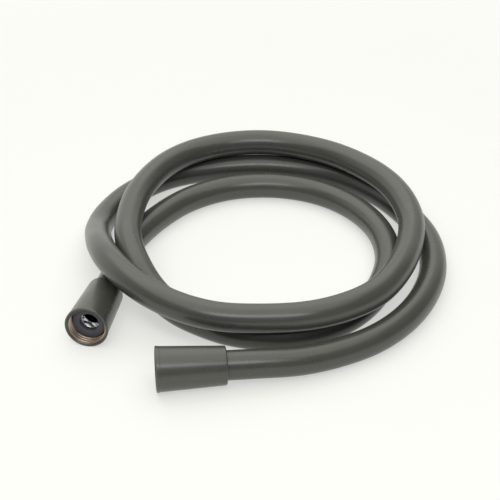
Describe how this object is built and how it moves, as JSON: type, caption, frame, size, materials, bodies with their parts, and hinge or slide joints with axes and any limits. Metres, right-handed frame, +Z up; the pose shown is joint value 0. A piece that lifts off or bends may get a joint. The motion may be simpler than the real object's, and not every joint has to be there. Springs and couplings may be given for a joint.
{
  "type": "shower hose",
  "caption": "Flexible PVC shower hose lying in a loose coil, with a smooth conical union nut swivelling on each end and a threaded socket in each nut.",
  "frame": {"origin": "on the table, under the middle of the box round the whole coil", "axes": "+Z up from the table, +X within 4 degrees of the front nut's axis from its mouth to the hose, +Y away from the viewer of the picture"},
  "size_m": [0.2161, 0.2214, 0.0353],
  "materials": {
    "pvc": "satin, smooth",
    "coated_brass": "satin coating",
    "chrome": "bright",
    "rubber": "matt",
    "steel": "drawn"
  },
  "bodies": {
    "hose_body": {"hose": "pvc", "front_nipple": "chrome", "front_sleeve": "steel", "left_nipple": "chrome", "left_sleeve": "steel"},
    "front_nut_body": {"front_nut": "coated_brass", "front_washer": "rubber"},
    "left_nut_body": {"left_nut": "coated_brass", "left_washer": "rubber"}
  },
  "joints": [
    {"name": "front_nut_turn", "type": "hinge", "parent": "hose_body", "child": "front_nut_body", "pos_m": [-0.0668, -0.0988, 0.0116], "axis": [0.9978, -0.0645, -0.0175], "continuous": true},
    {"name": "left_nut_turn", "type": "hinge", "parent": "hose_body", "child": "left_nut_body", "pos_m": [-0.0977, -0.0584, 0.01158], "axis": [0.3611, 0.9311, -0.0514], "continuous": true}
  ]
}
